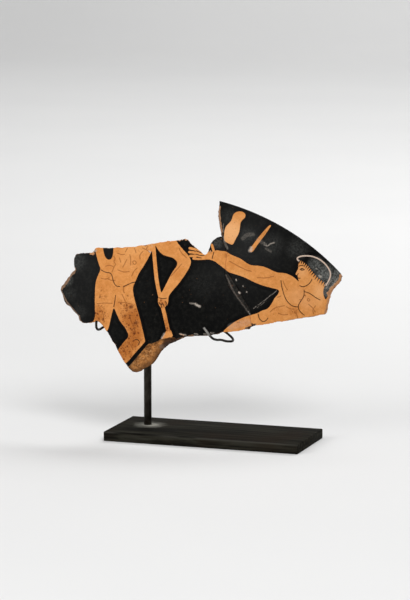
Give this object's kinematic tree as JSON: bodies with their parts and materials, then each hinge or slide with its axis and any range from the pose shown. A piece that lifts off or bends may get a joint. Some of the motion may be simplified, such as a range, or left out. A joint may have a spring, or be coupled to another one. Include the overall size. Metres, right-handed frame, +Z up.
{
  "type": "kylix fragment on a display stand",
  "caption": "Mended wall fragment of a red-figure drinking cup, held upright by a round post and two bent wires on a flat dark base.",
  "frame": {"origin": "middle of the base's underside", "axes": "+X along the base towards the rim sherd's side, -Y towards the display's front, +Z up"},
  "size_m": [0.1784, 0.0861, 0.1518],
  "materials": {
    "painted_pottery": "orange clay with figures left in reserve in a semi-gloss black slip, worn and chipped at the breaks",
    "mend_filler": "matte toned plaster, sunken a little below the wall",
    "dark_metal": "patinated dark metal, satin",
    "stained_wood": "dark stained wood with fine streaky grain, satin"
  },
  "bodies": {
    "root": {"figure_sherd": "painted_pottery", "rim_sherd": "painted_pottery", "mend_fill": "mend_filler", "post": "dark_metal", "left_hook": "dark_metal", "right_hook": "dark_metal", "base": "stained_wood"}
  },
  "joints": []
}
